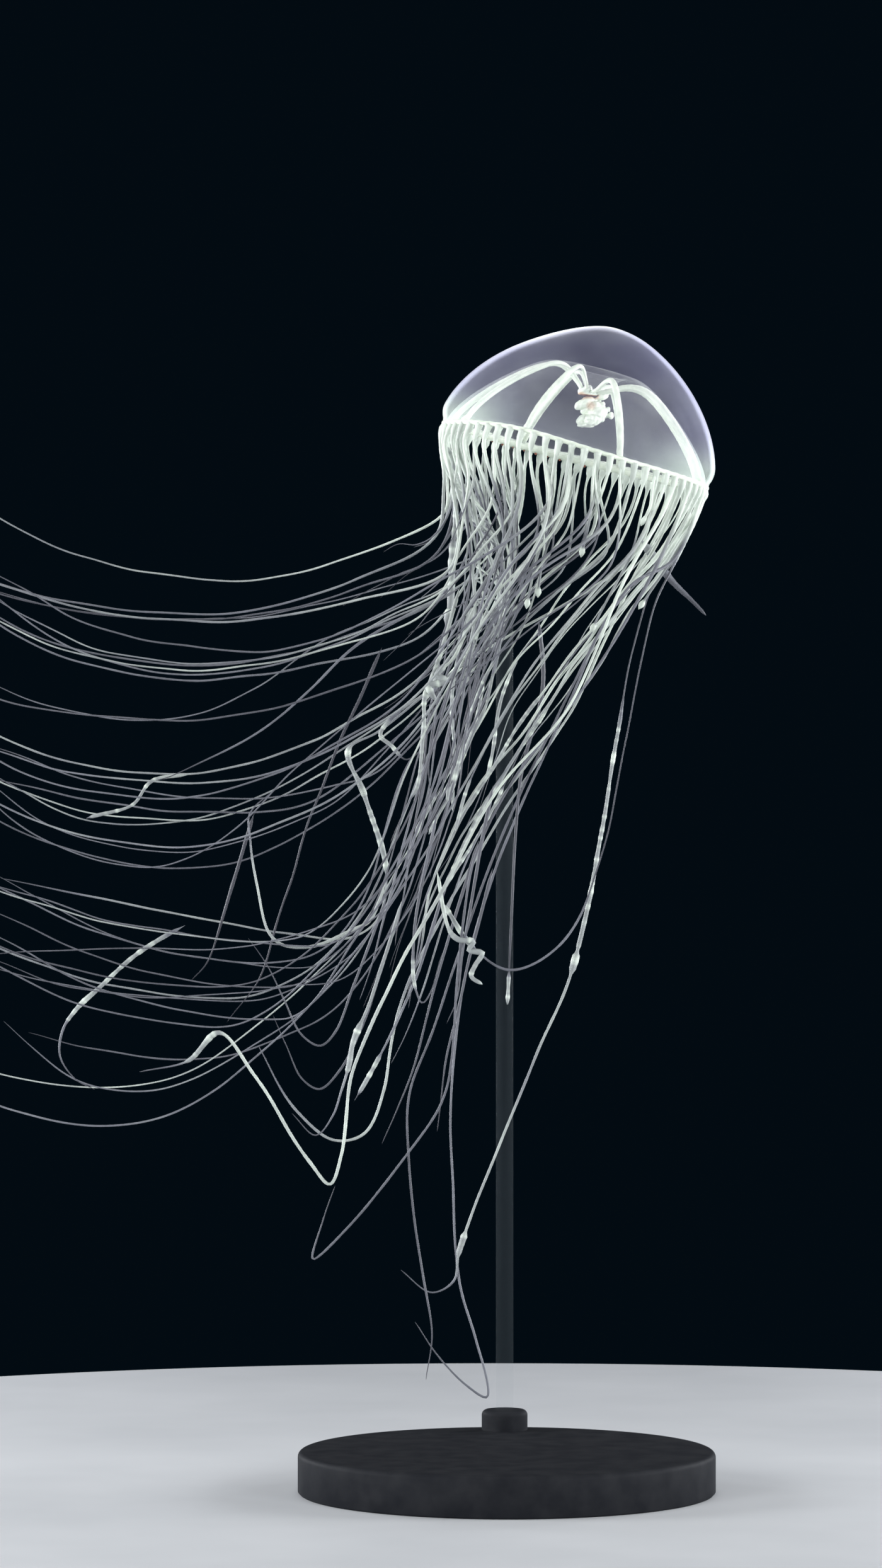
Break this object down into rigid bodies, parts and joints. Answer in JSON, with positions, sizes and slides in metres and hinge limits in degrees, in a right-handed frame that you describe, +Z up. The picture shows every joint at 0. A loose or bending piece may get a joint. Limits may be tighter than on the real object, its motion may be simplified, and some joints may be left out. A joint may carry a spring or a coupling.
{
  "type": "jellyfish",
  "caption": "Small jellyfish with a clear domed bell, white canals, a beaded rim and long trailing tentacles, held over a round base by a clear rod.",
  "frame": {"origin": "centre of the underside of the stand's base", "axes": "+Z up; the animal is seen from -Y, the crown of its bell leans to +X, and its tentacles stream down and off to -X"},
  "size_m": [0.1177, 0.06, 0.1681],
  "materials": {
    "jelly": "clear, faintly violet jelly",
    "canal": "milky greenish white tissue",
    "stomach": "milky tissue with a rusty tint",
    "lips": "opaque white frills",
    "tentacle": "milky threads",
    "stand_base": "black acrylic, satin",
    "stand_rod": "clear acrylic, polished"
  },
  "bodies": {
    "root": {"bell": "jelly", "velum": "jelly", "stomach": "stomach", "manubrium": "lips", "lips": "lips", "canal_1": "canal", "canal_2": "canal", "canal_3": "canal", "canal_4": "canal", "canal_5": "canal", "canal_6": "canal", "canal_7": "canal", "canal_8": "canal", "tentacles_01": "tentacle", "tentacles_02": "tentacle", "tentacles_03": "tentacle", "tentacles_04": "tentacle", "tentacles_05": "tentacle", "tentacles_06": "tentacle", "tentacles_07": "tentacle", "tentacles_08": "tentacle", "tentacles_09": "tentacle", "tentacles_10": "tentacle", "tentacles_11": "tentacle", "tentacles_12": "tentacle", "tentacles_13": "tentacle", "tentacles_14": "tentacle", "tentacles_15": "tentacle", "tentacles_16": "tentacle", "tentacle_end_01": "tentacle", "tentacle_end_02": "tentacle", "tentacle_end_03": "tentacle", "tentacle_end_04": "tentacle", "tentacle_end_05": "tentacle", "tentacle_end_06": "tentacle", "tentacle_end_07": "tentacle", "tentacle_end_08": "tentacle", "tentacle_end_09": "tentacle", "tentacle_end_10": "tentacle", "tentacle_end_11": "tentacle", "tentacle_end_12": "tentacle", "tentacle_end_13": "tentacle", "tentacle_end_14": "tentacle", "tentacle_end_15": "tentacle", "tentacle_end_16": "tentacle", "tentacle_end_17": "tentacle", "tentacle_end_18": "tentacle", "tentacle_end_19": "tentacle", "tentacle_end_20": "tentacle", "tentacle_end_21": "tentacle", "tentacle_end_22": "tentacle", "tentacle_end_23": "tentacle", "tentacle_end_24": "tentacle", "tentacle_end_25": "tentacle", "tentacle_end_26": "tentacle", "tentacle_end_27": "tentacle", "tentacle_end_28": "tentacle", "stand_base": "stand_base", "stand_rod": "stand_rod", "stand_cup": "stand_rod"}
  },
  "joints": []
}
